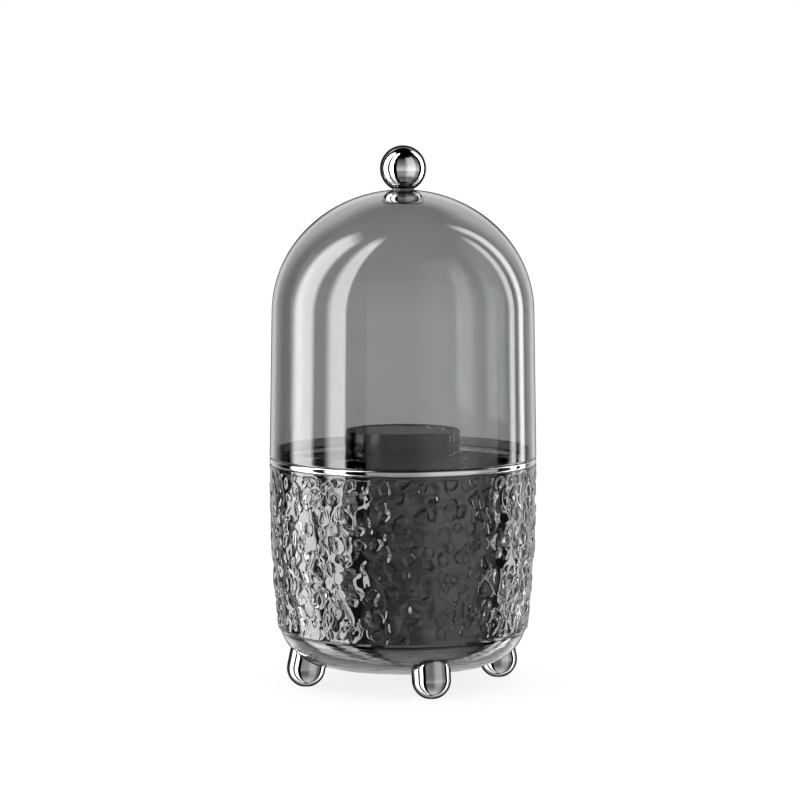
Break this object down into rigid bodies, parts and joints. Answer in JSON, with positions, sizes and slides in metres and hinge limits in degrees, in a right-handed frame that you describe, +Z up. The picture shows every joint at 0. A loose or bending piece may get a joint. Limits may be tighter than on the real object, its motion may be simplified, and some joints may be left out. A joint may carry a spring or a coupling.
{
  "type": "dustproof makeup organizer",
  "caption": "Smoky clear domed canister: a lift-off dome with a ball knob over a relief-walled cup on short feet, with a lined inside, a finned divider and a centre tube.",
  "frame": {"origin": "on the table surface, directly under the middle of the cup", "axes": "+Z up along the cup's axis; the four feet stand on the X and Y axes, and -Y is the front"},
  "size_m": [0.1224, 0.1224, 0.246],
  "materials": {
    "smoky_clear": "polished transparent smoky grey plastic",
    "dark_smoky_clear": "polished transparent dark smoky grey plastic",
    "chrome": "mirror chrome",
    "clear_gasket": "clear silicone",
    "screw_steel": "zinc-plated steel"
  },
  "bodies": {
    "cup": {"outer_cup": "smoky_clear", "inner_liner": "smoky_clear", "foot_front": "chrome", "foot_right": "chrome", "foot_back": "chrome", "foot_left": "chrome"},
    "insert": {"divider": "dark_smoky_clear", "centre_tube": "dark_smoky_clear"},
    "dome": {"dome_cover": "smoky_clear", "knob_ball": "chrome", "knob_gasket": "clear_gasket", "knob_clamp": "chrome", "knob_screw": "screw_steel"}
  },
  "joints": [
    {"name": "dome_lift", "type": "slide", "parent": "cup", "child": "dome", "axis": [0, 0, 1], "range_m": [0, 0.15]},
    {"name": "insert_lift", "type": "slide", "parent": "cup", "child": "insert", "axis": [0, 0, 1], "range_m": [0, 0.098]}
  ]
}
